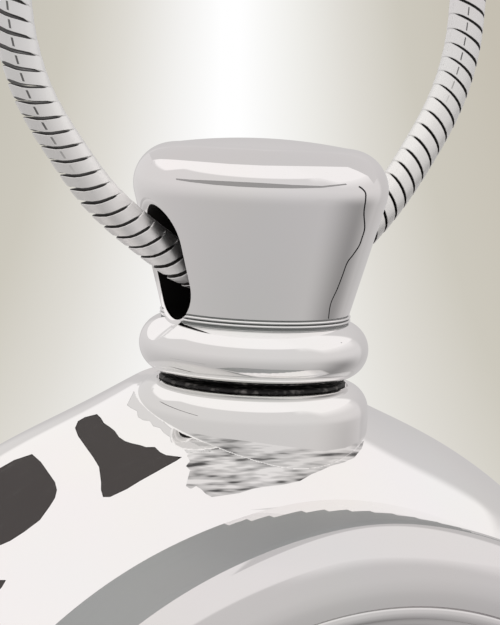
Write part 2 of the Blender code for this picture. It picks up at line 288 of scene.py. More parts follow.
chain = {
    "radius": 0.45 * mm,
    "pitch": 0.385 * mm,
    "gap": 0.038 * mm,
    "skew": math.radians(25),
    "hook": 0.10 * mm,
    "edge": 0.028 * mm, "tuck": 0.035 * mm,
    # degrees round the plate, from the front to the loop's outside: where each strand's gap starts to open,
    # how far it takes to open, and where the count starts over
    "opening": 24, "around": -130,
    # painted shade of small gaps, drawn as dark dashes: place across the plate and half width, length along
    # it, and the height from which they show
    "left": {"opens": -34, "mark": 0.56, "markHalf": 0.042},
    "right": {"opens": -80, "mark": -0.47, "markHalf": 0.03},
    "markLength": 0.52, "markFrom": 5.8 * mm, "markTo": 6.9 * mm, "markLower": 1.8 * mm,
    "loopRadius": 6.1 * mm,
    "sides": 20, "downSteps": 60, "bightSteps": 8, "upSteps": 70, "loopSteps": 24, "topSteps": 10,
    "socketEntry": 2.2 * mm,
    # the bight through the stopper, left strand to right: x and height above the bead, as in the CAD
    "bight": ((-6.60, 10.40), (-6.57, 9.10), (-6.50, 7.87), (-6.28, 6.78), (-5.83, 5.68), (-5.06, 4.57),
              (-4.10, 3.46), (-2.87, 2.52), (-1.60, 1.80), (0.10, 1.50), (1.60, 1.87), (2.65, 2.60),
              (3.57, 3.55), (4.43, 4.77), (5.12, 6.02), (5.50, 7.27), (5.61, 8.60), (5.62, 10.40)),
}


def catmullRom(spots, perSpan):
    padded = [2 * spots[0] - spots[1]] + spots + [2 * spots[-1] - spots[-2]]
    out = [spots[0]]
    for seg in range(len(spots) - 1):
        a, b, c, d = padded[seg:seg + 4]
        for i in range(1, perSpan + 1):
            t = i / perSpan
            out.append(0.5 * (2 * b + (c - a) * t + (2 * a - 5 * b + 4 * c - d) * t * t
                              + (3 * b - a - 3 * c + d) * t ** 3))
    return out


def chainRoute():
    # from the socket under the clasp, down, round the bight, up and over the loop, to the socket above
    claspLow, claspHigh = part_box("clasp_barrel")
    radius = chain["loopRadius"]
    spots = [Vector((x * mm, 0, beadZ + z * mm)) for x, z in chain["bight"]]
    bight = catmullRom(spots, chain["bightSteps"])
    rightFoot = bight[-1]

    def rightStrand(z):
        share = (z - rightFoot.z) / (-radius - rightFoot.z)
        return Vector((rightFoot.x + (radius - rightFoot.x) * share, 0, z))

    start = claspLow.z + chain["socketEntry"]
    end = claspHigh.z - chain["socketEntry"]
    down, up = chain["downSteps"], chain["upSteps"]
    route = [rightStrand(start + (rightFoot.z - start) * i / down) for i in range(down)]
    route += reversed(bight)
    leftFoot = route[-1].copy()
    arcStart = Vector((-radius, 0, -radius))
    route += [leftFoot.lerp(arcStart, i / up) for i in range(1, up + 1)]
    for i in range(1, chain["loopSteps"] + 1):
        angle = math.pi * (1 - i / chain["loopSteps"])
        route.append(Vector((radius * math.cos(angle), 0, -radius + radius * math.sin(angle))))
    top = chain["topSteps"]
    route += [rightStrand(-radius + (end + radius) * i / top) for i in range(1, top + 1)]
    return route


def plateMesh(name, kind):
    # one plate: a short skewed drum, closed against its neighbours inside the loop and open outside it
    sides = chain["sides"]
    half = chain["pitch"] / 2
    bm = bmesh.new()
    # painted shade: the gapShade value darkens the plates' rims where the gap between them opens, and the
    # plates' ends
    wearAndShade = bm.verts.layers.float.new("gapShade")
    dash = bm.verts.layers.float.new("acrossPlate")
    along = bm.verts.layers.float.new("alongPlate")
    rings = []
    for index in range(4):
        ring = []
        for i in range(sides):
            angle = math.tau * (i + 0.5) / sides
            front = math.cos(angle)
            side = math.sin(angle)
            turn = math.degrees(math.atan2(side, front))
            turn = turn if turn > chain["around"] else turn + 360
            opened = min(1, max(0, (turn - kind["opens"]) / chain["opening"]))
            height = half - chain["gap"] * opened / 2
            height -= chain["edge"] if index in (1, 2) else 0
            height *= -1 if index < 2 else 1
            ringRadius = chain["radius"] - (chain["tuck"] * (0.25 + 0.75 * opened) if index in (0, 3) else 0)
            hook = chain["hook"] * min(1, max(0, (side - 0.5) / 0.5)) ** 2
            shift = math.tan(chain["skew"]) * ringRadius * side + hook
            vert = bm.verts.new((side * ringRadius, front * ringRadius, height + shift))
            vert[wearAndShade] = opened if index in (0, 3) else 0.0
            vert[dash] = (side - kind["mark"]) / kind["markHalf"] if front > 0 else 90.0
            vert[along] = height / half
            ring.append(vert)
        rings.append(ring)
    for low, high in zip(rings, rings[1:]):
        for i in range(sides):
            j = (i + 1) % sides
            bm.faces.new((low[i], high[i], high[j], low[j]))
    for ring in rings[1:3]:
        for i in range(sides):
            bm.edges.get((ring[i], ring[(i + 1) % sides])).smooth = False
    for ring, flip in ((rings[0], False), (rings[-1], True)):
        # ends are fanned to a middle point that sits inside the chain
        middle = bm.verts.new((0, 0, sum(v.co.z for v in ring) / sides))
        middle[wearAndShade] = 1.0
        middle[dash] = 90.0
        for i in range(sides):
            j = (i + 1) % sides
            bm.faces.new((middle, ring[i], ring[j]) if not flip else (middle, ring[j], ring[i]))
    obj = lifted(name, bm, outward=True)
    obj.data.shade_smooth()
    return obj


def chainMaterial():
    mat = silverMaterial("chainSilver", Roughness=0.36, Haze=0.10, Scratch=0.12, Ripple=0.05,
                         Tint=(0.93, 0.925, 0.92, 1))
    board = Board(mat.node_tree)
    base = board.nodes["Principled BSDF"].inputs["Base Color"]
    silver = base.links[0].from_socket
    # painted shade: short dark dashes for small gaps on the plates of the upper strands, at another place on
    # each strand
    coords = board.add("ShaderNodeTexCoord").outputs["Object"]
    coords = board.add("ShaderNodeSeparateXYZ", {"Vector": coords}).outputs
    left = board.math("LESS_THAN", coords["X"], 0.0)
    raised = board.math("ADD", coords["Z"], board.math("MULTIPLY", left, chain["markLower"]))
    dash = board.math("MULTIPLY", board.math("COMPARE", board.reading("acrossPlate"), 0.0, 1.0),
                      board.math("COMPARE", board.reading("alongPlate"), 0.0, chain["markLength"]))
    shown = board.mapped(raised, beadZ + chain["markFrom"], beadZ + chain["markTo"])
    dash = board.math("MULTIPLY", dash, shown)
    # painted shade: near black where the gaps between plates open, and along the dashes
    dark = board.math("MAXIMUM", board.mapped(board.reading("gapShade"), 0.15, 0.45),
                      board.math("MULTIPLY", dash, 0.8))
    board.put(base, board.mix(dark, silver, (0.012, 0.011, 0.010, 1)))
    return mat


def chainTree(leftPlate, rightPlate, material):
    # plates set along the route, one pitch apart, each turned to the route's direction
    tree = bpy.data.node_groups.new("snakeChain", "GeometryNodeTree")
    face = tree.interface
    face.new_socket(name="Geometry", in_out="INPUT", socket_type="NodeSocketGeometry")
    pitch = face.new_socket(name="Pitch", in_out="INPUT", socket_type="NodeSocketFloat")
    pitch.default_value = chain["pitch"]
    face.new_socket(name="Geometry", in_out="OUTPUT", socket_type="NodeSocketGeometry")
    board = Board(tree)
    into = board.add("NodeGroupInput").outputs
    curve = board.add("GeometryNodeMeshToCurve", {"Mesh": into["Geometry"]}).outputs["Curve"]
    route = board.add("GeometryNodeResampleCurve", {"Curve": curve, "Length": into["Pitch"]}, mode="LENGTH")
    tangent = board.add("GeometryNodeInputTangent").outputs["Tangent"]
    turn = board.add("FunctionNodeAlignRotationToVector", {"Vector": tangent}, axis="Z").outputs["Rotation"]
    turn = board.add("FunctionNodeAlignRotationToVector", {"Rotation": turn, "Vector": (0, -1, 0)},
                     axis="Y", pivot_axis="Z").outputs["Rotation"]
    position = board.add("GeometryNodeInputPosition").outputs["Position"]
    across = board.add("ShaderNodeSeparateXYZ", {"Vector": position}).outputs["X"]
    join = board.add("GeometryNodeJoinGeometry")
    for plate, side in ((leftPlate, "LESS_THAN"), (rightPlate, "GREATER_THAN")):
        info = board.add("GeometryNodeObjectInfo", {"Object": plate})
        instance = board.add("GeometryNodeInstanceOnPoints", {
            "Points": route.outputs["Curve"], "Selection": board.math(side, across, 0),
            "Instance": info.outputs["Geometry"], "Rotation": turn,
        })
        board.put(join.inputs["Geometry"], instance.outputs["Instances"])
    realize = board.add("GeometryNodeRealizeInstances", {"Geometry": join.outputs["Geometry"]})
    finish = board.add("GeometryNodeSetMaterial", {"Geometry": realize.outputs["Geometry"],
                                                   "Material": material})
    board.add("NodeGroupOutput", {"Geometry": finish.outputs["Geometry"]})
    return tree, pitch.identifier


def buildChain():
    route = chainRoute()
    mesh = bpy.data.meshes.new("snakeChainPlates")
    mesh.from_pydata(route, [(i, i + 1) for i in range(len(route) - 1)], [])
    obj = linkMesh("snakeChainPlates", mesh)
    leftPlate = plateMesh("chainPlateLeft", chain["left"])
    rightPlate = plateMesh("chainPlateRight", chain["right"])
    material = chainMaterial()
    tree, pitchId = chainTree(leftPlate, rightPlate, material)
    mod = obj.modifiers.new("plates", "NODES")
    mod.node_group = tree
    mod[pitchId] = chain["pitch"]
    settled(obj, leftPlate, rightPlate)
    obj.data.materials.clear()
    obj.data.materials.append(material)
    obj.visible_glossy = False
    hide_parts("snake_chain")
    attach(obj, "necklace")
    print("chain made,", len(obj.data.polygons), "faces")


buildChain()


# clasp

clasp = {
    "length": 9.0 * mm, "radius": 1.25 * mm, "socket": 0.72 * mm, "socketDepth": 2.6 * mm, "edge": 0.22 * mm,
    "lip": 0.08 * mm, "seam": 0.05 * mm, "segments": 64, "crease": 40,
}


def buildClasp():
    half = clasp["length"] / 2
    edge, lip, seam = clasp["edge"], clasp["lip"], clasp["seam"]
    radius, socket = clasp["radius"], clasp["socket"]
    floor = [(0, half - clasp["socketDepth"]), (socket, half - clasp["socketDepth"])]
    rim = ellipseArc((socket + lip, half - lip), (lip, lip), 180, 90, 5)
    rim += ellipseArc((radius - edge, half - edge), (edge, edge), 90, 0, 8)
    rim += runBetween((radius, half - edge), (radius, seam), 8)
    # both halves meet at the seam where the barrel would screw together
    profile = floor + runBetween(floor[1], rim[0], 6)[:-1] + rim + [(radius - seam, 0)]
    profile += [(r, -z) for r, z in reversed(floor + rim)]
    low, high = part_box("clasp_barrel")
    obj = lathe("claspBarrel", profile, clasp["segments"])
    placed(obj, Matrix.Translation((low + high) / 2))
    smoothed(obj, clasp["crease"])
    obj.data.materials.append(polishedSilver)
    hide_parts("clasp_barrel")
    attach(obj, "necklace")


buildClasp()
print("clasp made")


# stopper

stopper = {
    "bead": 2.07 * mm, "minor": 0.68 * mm,
    "footRadius": 2.20 * mm, "footHeight": 0.66 * mm, "footStep": 0.07 * mm,
    "wideRadius": 3.04 * mm, "wideHeight": 3.74 * mm,
    "top": 4.95 * mm, "edge": 0.96 * mm, "crown": 0.17 * mm,
    "slotHalf": 0.88 * mm, "slotLow": 0.68 * mm, "slotHigh": 3.34 * mm, "mouth": 0.13 * mm,
    "stud": 1.30 * mm, "studLength": 2.60 * mm, "chamfer": 0.25 * mm,
    "threadPitch": 0.5 * mm, "threadDepth": 0.14 * mm, "threadStart": 0.28 * mm, "threadEnd": 0.34 * mm,
    "threadHalf": 0.19 * mm, "threadSteps": 40, "threadFade": 14,
    "segments": 224, "crease": 34, "underside": -0.35,
}


def stopperProfile():
    s = stopper
    flare = math.degrees(math.atan2(s["wideRadius"] - s["footRadius"], s["wideHeight"] - s["footHeight"]))
    edge = s["edge"]
    crownFoot = s["top"] - s["crown"]
    centre = (s["wideRadius"] - edge, crownFoot - edge)
    profile = [(0, s["top"])]
    for i in range(1, 12):
        share = i / 12
        profile.append((centre[0] * share, s["top"] - s["crown"] * share * share))
    profile += ellipseArc(centre, (edge, edge), 90, -flare, 40)
    foot = s["footHeight"]
    step = s["footStep"]
    coneFoot = foot + 3 * step
    lean = (s["wideRadius"] - s["footRadius"]) / (s["wideHeight"] - foot)
    coneRadius = s["footRadius"] + lean * (coneFoot - foot)
    profile += runBetween(profile[-1], (coneRadius, coneFoot), 40)
    # two fine rolled steps at the foot of the cap
    for middle in (coneFoot - step, coneFoot - 2.2 * step):
        profile += [(coneRadius - step * 0.55, middle + step * 0.68)]
        profile += ellipseArc((coneRadius - step * 0.3, middle), (step * 0.7, step * 0.5), 75, -75, 8)
    profile += [(coneRadius - step * 0.5, coneFoot - 2.9 * step)]
    profile += ellipseArc((s["bead"], 0), (s["minor"], s["minor"]), 75, -90, 48)
    profile += runBetween(profile[-1], (s["stud"] - 0.03 * mm, -s["minor"]), 3)
    studFoot = -s["minor"] - s["studLength"]
    core = s["stud"] - s["threadDepth"]
    profile += [(core, -s["minor"] - 0.04 * mm)]
    profile += runBetween(profile[-1], (core, studFoot + s["chamfer"]), 8)
    profile += [(core - s["chamfer"], studFoot), (0, studFoot)]
    return profile


def slotOutline(grow):
    half = stopper["slotHalf"] + grow
    high = stopper["slotHigh"] - stopper["slotHalf"]
    low = stopper["slotLow"] + stopper["slotHalf"]
    points = ellipseArc((0, high), (half, half), 0, 180, 28)
    points += runBetween((-half, high), (-half, low), 6)[:-1]
    points += ellipseArc((0, low), (half, half), 180, 360, 28)
    points += runBetween((half, low), (half, high), 6)[:-1]
    return points


def slotCutter():
    # the slot's wall, with rounded mouths that meet the cap's cone smoothly
    s = stopper
    flare = (s["wideRadius"] - s["footRadius"]) / (s["wideHeight"] - s["footHeight"])

    def surfaceX(y, z):
        radius = s["footRadius"] + flare * (min(z, s["wideHeight"]) - s["footHeight"])
        return math.sqrt(max(radius * radius - y * y, 0.0))

    mouth = s["mouth"]
    stations = []
    for i in range(9):
        angle = math.radians(90 * i / 8)
        stations.append((-mouth * (1 - math.sin(angle)), mouth * (1 - math.cos(angle))))
    stations.append((0.7 * mm, mouth + 0.5 * mm))
    rows = []
    base = slotOutline(0)
    for sign in (-1, 1):
        for offset, grow in stations[::sign]:
            grown = slotOutline(grow)
            rows.append([(sign * (surfaceX(y0, z0) + offset), y, z + beadZ)
                         for (y0, z0), (y, z) in zip(base, grown)])
    bm = bmesh.new()
    rings = [[bm.verts.new(point) for point in row] for row in rows]
    count = len(rings[0])
    for index, (a, b) in enumerate(zip(rings, rings[1:])):
        for i in range(count):
            j = (i + 1) % count
            face = bm.faces.new((a[i], a[j], b[j], b[i]))
            face.material_index = 1 if index == len(stations) - 1 else 0
            face.smooth = True
    bm.faces.new(rings[0])
    bm.faces.new(list(reversed(rings[-1])))
    return painted(lifted("slotCutter", bm, outward=True), polishedSilver, slotShade)


def threadRidge():
    # a V ridge wound down the stud, faded in and out at its ends
    s = stopper
    steps, fading = s["threadSteps"], s["threadFade"]
    top = -s["minor"] - s["threadStart"]
    length = s["studLength"] - s["threadStart"] - s["threadEnd"]
    total = int(length / s["threadPitch"] * steps)
    core = s["stud"] - s["threadDepth"]
    half = s["threadHalf"]
    bm = bmesh.new()
    rows = []
    for i in range(total + 1):
        angle = math.tau * i / steps
        z = top - s["threadPitch"] * i / steps
        fade = min(1.0, i / fading, (total - i) / fading)
        crest = core - 0.01 * mm + (s["threadDepth"] + 0.01 * mm) * fade
        inner = core - 0.03 * mm
        section = ((inner, half), (crest, half * 0.16), (crest, -half * 0.16), (inner, -half))
        rows.append([bm.verts.new((r * math.cos(angle), -r * math.sin(angle), z + h)) for r, h in section])
    for a, b in zip(rows, rows[1:]):
        for k in range(4):
            m = (k + 1) % 4
            bm.faces.new((a[k], a[m], b[m], b[k]))
    bm.faces.new(rows[0])
    bm.faces.new(list(reversed(rows[-1])))
    return atBead(painted(lifted("studThread", bm, outward=True), polishedSilver))


def buildStopper():
    cap = atBead(lathe("capStopper", stopperProfile(), stopper["segments"]))
    painted(cap, polishedSilver, satinSilver)
    # the undersides of the foot's steps get the rough satin, darkened by painted shade
    stepTop = beadZ + stopper["footHeight"] + 3 * stopper["footStep"]
    for face in cap.data.polygons:
        if beadZ + stopper["footHeight"] < face.center.z < stepTop and face.normal.z < stopper["underside"]:
            face.material_index = 1
    cutter = slotCutter()
    cutWith(cap, cutter, "DIFFERENCE")
    settled(cap, cutter)
    smoothed(cap, stopper["crease"])
    for piece in (cap, threadRidge()):
        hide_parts("screw_stopper")
        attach(piece, "stopper")
    print("stopper made,", len(cap.data.polygons), "faces")


buildStopper()


# seal ring

seal = {"outer": 2.24 * mm, "inner": 1.44 * mm, "thickness": 0.16 * mm, "gap": 0.08 * mm,
        "segments": 160, "crease": 40}


def rubberMaterial():
    mat, board = nodeMaterial("sealRubber")
    speckle = board.grain(5200, 3)["Fac"]
    black, dusty = (0.012, 0.011, 0.011, 1), (0.22, 0.21, 0.20, 1)
    rough = board.add("ShaderNodeMapRange", {"Value": speckle, "To Min": 0.4, "To Max": 0.75})
    bump = board.add("ShaderNodeBump", {"Height": speckle, "Strength": 0.5, "Distance": 0.00002})
    board.fill(board.nodes["Principled BSDF"], {
        "Specular IOR Level": 0.35,
        "Base Color": board.ramp(speckle, 0, 1, ((0.52, black), (0.72, dusty))),
        "Roughness": rough.outputs["Result"],
        "Normal": bump.outputs["Normal"],
    })
    return mat


def buildSeal():
    top = -stopper["minor"] - seal["gap"]
    half = seal["thickness"] / 2
    profile = [(seal["inner"], top)]
    profile += ellipseArc((seal["outer"] - half, top - half), (half, half), 90, -90, 12)
    profile += [(seal["inner"], top - seal["thickness"])]
    obj = atBead(lathe("sealRing", profile, seal["segments"]))
    smoothed(obj, seal["crease"])
    painted(obj, rubberMaterial())
    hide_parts("seal_ring")
    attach(obj, "seal")


buildSeal()
print("seal made")


# flask

flask = {
    "radius": 12.5 * mm, "below": 13.7 * mm, "ridge": -1.33 * mm, "reach": 4.4 * mm, "depth": 5.45 * mm,
    "backReach": 4.25 * mm,
    "lift": 0.93 * mm, "liftWidth": math.radians(11.5), "liftEnd": math.radians(50),
    "drum": 10.54 * mm, "foot": 10.30 * mm, "wallDepth": 3.60 * mm, "edgeDepth": 5.72 * mm,
    "crest": 9.20 * mm, "crestDepth": 6.70 * mm, "innerReach": 1.9 * mm,
    "ringOuter": 8.90 * mm, "ringInner": 8.62 * mm, "ringDepth": 6.71 * mm, "valley": 6.63 * mm,
    "dish": 8.0 * mm,
    "medal": 6.20 * mm,
    "backEdge": 9.2 * mm, "backDepth": 5.9 * mm, "backEdgeDepth": 5.25 * mm, "wall": 1.0 * mm,
    "bore": 1.62 * mm, "boreDepth": 3.2 * mm, "trim": 3.10 * mm,
    "collar": 2.82 * mm, "collarDepth": 4.2 * mm, "collarEdge": 0.54 * mm, "collarRound": 0.5 * mm,
    "lip": 0.17 * mm,
    # the rough satin, grey by painted shade: how far it reaches past the drum's wall, and from which angle
    # it narrows to nothing
    "satinBelow": 0.1 * mm, "satinPast": 0.25 * mm, "satinShift": 0.3 * mm,
    "satinNarrows": 106, "satinSpan": 30,
    "segments": 288, "collarSegments": 192, "toolSegments": 96, "crease": 34,
}
collarTopZ = -stopper["minor"] - seal["thickness"] - 2 * seal["gap"]


def flaskSection():
    # radius and depth, from the middle of the front, over the rim, to the middle of the back
    f = flask
    section = [(0, f["medal"])]
    section += runBetween((0, f["medal"]), (f["dish"], f["medal"]), 10)
    for i in range(1, 11):
        share = (1 - math.cos(math.pi * i / 10)) / 2
        section.append((f["dish"] + (f["ringInner"] - 0.05 * mm - f["dish"]) * i / 10,
                        f["medal"] + (f["valley"] - 0.03 * mm - f["medal"]) * share))
    middle = (f["ringOuter"] + f["ringInner"]) / 2
    half = (f["ringOuter"] - f["ringInner"]) / 2
    section += ellipseArc((middle, f["valley"]), (half, f["ringDepth"] - f["valley"]), 180, 8, 22)
    rise = f["crestDepth"] - f["edgeDepth"]
    section += ellipseArc((f["crest"], f["edgeDepth"]), (f["innerReach"], rise), 98.5, 90, 12)
    section += ellipseArc((f["crest"], f["edgeDepth"]), (f["drum"] - f["crest"], rise), 90, 0, 44)[1:]
    section += runBetween((f["drum"], f["edgeDepth"]), (f["drum"], f["wallDepth"]), 10)
    section += [(f["foot"] + 0.12 * mm, f["wallDepth"] - 0.16 * mm)]
    centre = (f["radius"] - f["reach"], f["ridge"])
    section += ellipseArc(centre, (f["reach"], f["depth"]), 58.5, 0, 46)
    section += ellipseArc(centre, (f["reach"], f["backReach"]), -1.5, -62, 36)
    last = section[-1]
    section += runBetween(last, (f["backEdge"], -f["backEdgeDepth"]), 3)
    for i in range(1, 25):
        angle = math.radians(90 * i / 24)
        section.append((f["backEdge"] * math.cos(angle),
                        -f["backEdgeDepth"] - (f["backDepth"] - f["backEdgeDepth"]) * math.sin(angle)))
    section[-1] = (0, -f["backDepth"])
    return section


def liftShoulders(obj):
    # draws the rim out into the slopes that run up to the neck
    f = flask
    for vert in obj.data.vertices:
        angle = abs(math.atan2(vert.co.x, vert.co.y))
        radius = math.hypot(vert.co.x, vert.co.y)
        share = (radius - f["foot"]) / (f["radius"] - f["foot"])
        if angle > f["liftEnd"] or share <= 0:
            continue
        rise = f["lift"] * math.exp(-(angle / f["liftWidth"]) ** 2)
        grow = 1 + rise * share / radius
        vert.co.x *= grow
        vert.co.y *= grow


def facing(obj):
    turn = Matrix.Rotation(math.radians(90), 4, "X")
    return placed(obj, Matrix.Translation((0, 0, beadZ - flask["below"])) @ turn)


def cavityProfile():
    f = flask
    wall = f["wall"]
    profile = [(0, f["medal"] - wall), (f["ringInner"], f["medal"] - wall)]
    profile += [(f["drum"] - wall, f["edgeDepth"] - wall * 0.4), (f["drum"] - wall, f["wallDepth"])]
    centre = (f["radius"] - f["reach"], f["ridge"])
    profile += ellipseArc(centre, (f["reach"] - wall, f["depth"] - wall), 50, 0, 10)
    profile += ellipseArc(centre, (f["reach"] - wall, f["backReach"] - wall), -6, -66, 10)
    profile += [(f["backEdge"] * 0.6, -f["backDepth"] + wall), (0, -f["backDepth"] + wall)]
    return profile


def rod(name, radius, low, high):
    profile = [(0, high), (radius, high), (radius, low), (0, low)]
    return atBead(lathe(name, profile, flask["toolSegments"]))


def collarProfile():
    f = flask
    edge, fall = f["collarEdge"], f["collarRound"]
    profile = [(0, collarTopZ), (seal["outer"] + 0.04 * mm, collarTopZ)]
    profile += [(seal["outer"] + 0.05 * mm, collarTopZ + f["lip"] - 0.02 * mm)]
    profile += ellipseArc((f["collar"] - edge, collarTopZ - fall), (edge, fall + f["lip"]), 86, 0, 28)
    profile += runBetween(profile[-1], (f["collar"], collarTopZ - f["collarDepth"]), 24)
    profile += [(0, collarTopZ - f["collarDepth"])]
    return profile


def buildFlask():
    f = flask
    body = lathe("flaskShell", flaskSection(), f["segments"])
    painted(body, polishedSilver, satinSilver, faceSilver)
    # the front face gets the silver darkened by painted shade
    for face in body.data.polygons:
        radius = math.hypot(face.center.x, face.center.y)
        turn = math.degrees(math.atan2(face.center.y, face.center.x))
        # painted shade: the darkened rough satin on the drum's wall and a band past it
        past = max(0, min(1, (f["satinNarrows"] - turn) / f["satinSpan"])) if turn > -90 else 0
        start = f["wallDepth"] - f["satinBelow"] + past * (f["edgeDepth"] - f["wallDepth"] + f["satinShift"])
        if radius > f["foot"] and start < face.center.z < f["edgeDepth"] + f["satinPast"]:
            face.material_index = 1
        elif face.center.z > f["edgeDepth"]:
            face.material_index = 2
    liftShoulders(body)
    facing(body)
    trim = rod("trimTool", f["trim"], collarTopZ, collarTopZ + 2 * mm)
    cutWith(body, trim, "DIFFERENCE")
    collar = painted(atBead(lathe("collarForm", collarProfile(), f["collarSegments"])), polishedSilver)
    cutWith(body, collar, "UNION")
    cavity = facing(lathe("cavityTool", cavityProfile(), f["toolSegments"]))
    cutWith(body, cavity, "DIFFERENCE")
    bore = rod("boreTool", f["bore"], collarTopZ - f["boreDepth"], collarTopZ + 1 * mm)
    cutWith(body, bore, "DIFFERENCE")
    settled(body, trim, collar, cavity, bore)
    smoothed(body, f["crease"])
    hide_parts("flask_body")
    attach(body, "flask")
    print("flask made,", len(body.data.polygons), "faces")


buildFlask()


# camera: the place from which the pendant looks as photographed

camera = {
    "azimuth": math.radians(-28.6), "elevation": math.radians(6.46), "roll": math.radians(2.6),
    "distance": 50 * mm, "pixel": 0.024 * mm, "frameWidth": 500, "frameHeight": 625,
    "sensor": 36,
    "beadX": 253.7, "beadY": 345.0,  # where the bead's centre lies in the picture
}


def cameraAxes():
    a = camera["azimuth"]
    e = camera["elevation"]
    back = Vector((math.sin(a) * math.cos(e), -math.cos(a) * math.cos(e), math.sin(e)))
    level = Vector((math.cos(a), math.sin(a), 0))
    upright = back.cross(level)
    roll = camera["roll"]
    right = level * math.cos(roll) + upright * math.sin(roll)
    up = upright * math.cos(roll) - level * math.sin(roll)
    return right, up, back


def buildCamera():
    right, up, back = cameraAxes()
    data = bpy.data.cameras.new("pendantCamera")
    data.sensor_width = camera["sensor"]
    data.lens = camera["sensor"] * camera["distance"] / (camera["pixel"] * camera["frameHeight"])
    data.clip_start = 0.002
    data.clip_end = 20
    obj = bpy.data.objects.new("pendantCamera", data)
    bpy.context.scene.collection.objects.link(obj)
    # the bead's centre lies a little off the picture's middle
    aside = (camera["beadX"] - camera["frameWidth"] / 2) * camera["pixel"]
    below = (camera["beadY"] - camera["frameHeight"] / 2) * camera["pixel"]
    place = Vector((0, 0, beadZ)) + back * camera["distance"] - right * aside + up * below
    turn = Matrix((right, up, back)).transposed()
    obj.matrix_world = Matrix.Translation(place) @ turn.to_4x4()
    bpy.context.scene.camera = obj
    bpy.context.scene.view_settings.view_transform = "Standard"
    return obj


cameraObject = buildCamera()


# stage: pale floor and a soft studio all round

stage = {
    "floorDrop": 0.9, "floorRadius": 1.6,
    # tones by height in degrees, all round and behind the pendant
    "walls": ((-90, 184), (-38, 190), (-22, 201), (-8, 215), (4, 223), (90, 226)),
    "behind": ((-90, 190), (-10, 200), (8, 206), (30, 216), (90, 220)),
    # the background that the camera sees, from left to right
    "band": ((-0.5, 188, 184, 172), (-0.118, 198, 194, 183), (-0.088, 205, 201, 190),
             (-0.062, 222, 219, 212), (-0.034, 243, 242, 240), (-0.014, 255, 255, 255),
             (-0.004, 255, 255, 255), (0.024, 239, 238, 234), (0.048, 222, 219, 212),
             (0.074, 205, 201, 190), (0.118, 197, 191, 178), (0.5, 187, 181, 168)),
}


def buildFloor():
    bm = bmesh.new()
    bmesh.ops.create_circle(bm, cap_ends=True, segments=96, radius=stage["floorRadius"])
    mat, board = nodeMaterial("paleFloor")
    board.fill(board.nodes["Principled BSDF"], {"Base Color": (0.72, 0.71, 0.69, 1), "Roughness": 0.9})
    floor = placed(lifted("studioFloor", bm), Matrix.Translation((0, 0, -stage["floorDrop"])))
    painted(floor, mat)
    floor.visible_glossy = False


def tone(*shade):
    # a colour as it looks in the picture, 0 to 255, as the light that gives it
    values = [((v / 255 + 0.055) / 1.055) ** 2.4 if v > 10 else v / 255 / 12.92 for v in shade]
    return (*values, 1) if len(values) == 3 else (values[0], values[0] * 0.968, values[0] * 0.962, 1)


def stops(rows):
    return [(place, tone(*shade)) for place, *shade in rows]


def buildWorld():
    # the studio that the silver mirrors, in degrees: azimuth to the picture's right, and height
    world = bpy.data.worlds.new("softStudio")
    bpy.context.scene.world = world
    world.use_nodes = True
    board = Board(world.node_tree)
    direction = board.add("ShaderNodeTexCoord").outputs["Generated"]
    a = camera["azimuth"]
    toRight = board.dot(direction, (math.cos(a), math.sin(a), 0))
    toCamera = board.dot(direction, (math.sin(a), -math.cos(a), 0))
    azimuth = board.math("DEGREES", board.math("ARCTAN2", toRight, toCamera))
    height = board.math("DEGREES", board.math("ARCSINE", board.dot(direction, (0, 0, 1))))

    shade = board.ramp(height, -90, 90, stops(stage["walls"]))
    # greyer low down on the right
    side = board.math("MULTIPLY", board.between(azimuth, 52, 96, 6), board.rise(height, -8, -26))
    shade = board.mix(side, shade, tone(200), "DARKEN")
    # softbox overhead, lower on the right and far to the left
    edge = board.math("MULTIPLY_ADD", board.rise(azimuth, 58, 80), -14.0, 37.0)
    edge = board.math("MULTIPLY_ADD", board.rise(azimuth, -108, -84), 13.0,
                      board.math("SUBTRACT", edge, 13.0))
    box = board.math("SUBTRACT", height, edge)
    box = board.math("MAXIMUM", board.rise(box, -2.0, 2.0),
                     board.math("MULTIPLY", board.rise(box, -16.0, 8.0), board.between(azimuth, 50, 128, 6)))
    white = board.mix(board.rise(azimuth, 40, 70), (1.0, 0.968, 0.962, 1), (0.98, 0.95, 0.943, 1))
    shade = board.mix(box, shade, white)
    # quiet grey behind the pendant
    behind = board.math("ADD", board.rise(azimuth, 132, 140), board.rise(azimuth, -161, -169), clamp=True)
    shade = board.mix(behind, shade, board.ramp(height, -90, 90, stops(stage["behind"])))
    # darker corner to the right, low down
    corner = board.math("MULTIPLY", board.between(azimuth, 86, 130, 26), board.between(height, -60, -12, 12))
    shade = board.mix(board.math("MULTIPLY", corner, 0.75), shade, tone(120))

    # what the camera sees behind it: an upright band of light, wider below
    right, up, _ = cameraAxes()
    across = board.dot(direction, tuple(right))
    spread = board.math("MULTIPLY_ADD", board.dot(direction, tuple(up)), 2.4, 0.71)
    across = board.math("MULTIPLY", across, board.math("MINIMUM", board.math("MAXIMUM", spread, 0.5), 1.1))
    seen = board.ramp(across, -0.6, 0.6, stops(stage["band"]))
    cameraRay = board.add("ShaderNodeLightPath").outputs["Is Camera Ray"]
    board.fill(board.nodes["Background"], {"Color": board.mix(cameraRay, shade, seen), "Strength": 1.0})


# shapes that the silver mirrors, drawn as outlines in the picture

cards = {
    "distance": 1.5 * mm, "reach": 0.03 * mm, "closeness": 0.985, "bounces": 4, "clear": 2e-6,
    # the thin line down the cap, and half its width
    "lineHalf": 0.8,
    "capLine": (
        (358.9, 186.4), (362.5, 189), (365.5, 193), (365.6, 200), (364, 213), (364.7, 228), (362, 238),
        (359, 246), (353, 255), (347.3, 262.7), (342.3, 276), (337.3, 289), (330.7, 304), (328.2, 320.8)),
}

